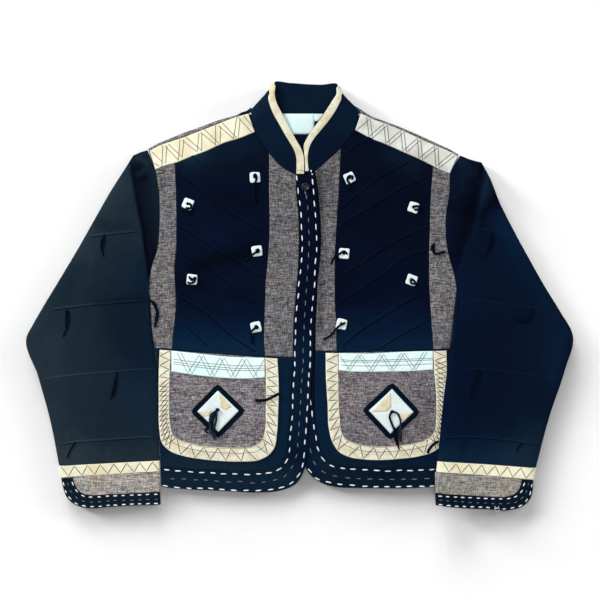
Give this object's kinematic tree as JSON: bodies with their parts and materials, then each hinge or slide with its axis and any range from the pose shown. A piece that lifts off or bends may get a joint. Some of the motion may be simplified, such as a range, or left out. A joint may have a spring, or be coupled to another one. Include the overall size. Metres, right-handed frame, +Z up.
{
  "type": "jacket",
  "caption": "Cropped dark cotton jacket laid flat on its back, with stand collar, tweed strips, zigzag-stitched bands, diamond patch pockets and tied squares.",
  "frame": {"origin": "middle of the bounding box's bottom, on the surface the jacket lies on", "axes": "+X across the jacket from the viewer's left sleeve to the right one, +Y from the hem to the neck, +Z up out of the surface"},
  "size_m": [0.8468, 0.6621, 0.0128],
  "materials": {
    "navy_cotton": "matte dark navy cotton, softly brushed",
    "indigo_cotton": "matte deep indigo cotton with slanting stitched tucks",
    "band_cotton": "matte black-navy cotton with rows of running stitches",
    "tweed": "grey-brown speckled tweed with fine horizontal slubs",
    "cream_cotton": "warm cream cotton with dark zigzag stitching",
    "white_cotton": "bluish white cotton",
    "black_yarn": "soft dark yarn and felted cloth",
    "button_black": "dark dished shirt button, satin gloss"
  },
  "bodies": {
    "root": {"back_body": "navy_cotton", "back_hem_band": "band_cotton", "back_shoulder_strip_left": "tweed", "back_shoulder_strip_right": "tweed", "button": "button_black", "chest_panel_left": "indigo_cotton", "chest_panel_right": "indigo_cotton", "chest_strip_inner_left": "tweed", "chest_strip_inner_right": "tweed", "chest_strip_outer_left": "tweed", "chest_strip_outer_right": "tweed", "collar": "navy_cotton", "collar_binding": "cream_cotton", "cuff_cream_left": "cream_cotton", "cuff_cream_right": "cream_cotton", "cuff_edge_left": "band_cotton", "cuff_edge_right": "band_cotton", "cuff_tweed_left": "tweed", "cuff_tweed_right": "tweed", "edge_band_left": "band_cotton", "edge_band_right": "band_cotton", "lower_front_left": "navy_cotton", "lower_front_right": "navy_cotton", "neck_label": "white_cotton", "pocket_body_left": "tweed", "pocket_body_right": "tweed", "pocket_border_left": "cream_cotton", "pocket_border_right": "cream_cotton", "pocket_diamond_left": "white_cotton", "pocket_diamond_right": "white_cotton", "pocket_frame_left": "black_yarn", "pocket_frame_right": "black_yarn", "pocket_tassel_left": "black_yarn", "pocket_tassel_right": "black_yarn", "pocket_top_left": "white_cotton", "pocket_top_right": "white_cotton", "shoulder_band_left": "cream_cotton", "shoulder_band_right": "cream_cotton", "size_tab": "white_cotton", "sleeve_left": "navy_cotton", "sleeve_right": "navy_cotton", "square_l1": "white_cotton", "square_l2": "white_cotton", "square_l3": "white_cotton", "square_l4": "white_cotton", "square_l5": "white_cotton", "square_r1": "white_cotton", "square_r2": "white_cotton", "square_r3": "white_cotton", "square_r4": "white_cotton", "square_r5": "white_cotton", "tie_sleeve_left_1": "black_yarn", "tie_sleeve_left_2": "black_yarn", "tie_sleeve_left_3": "black_yarn", "tie_sleeve_right_1": "black_yarn", "tie_sleeve_right_2": "black_yarn", "tie_sleeve_right_3": "black_yarn", "tie_strip_left": "black_yarn", "tie_strip_right": "black_yarn"}
  },
  "joints": []
}
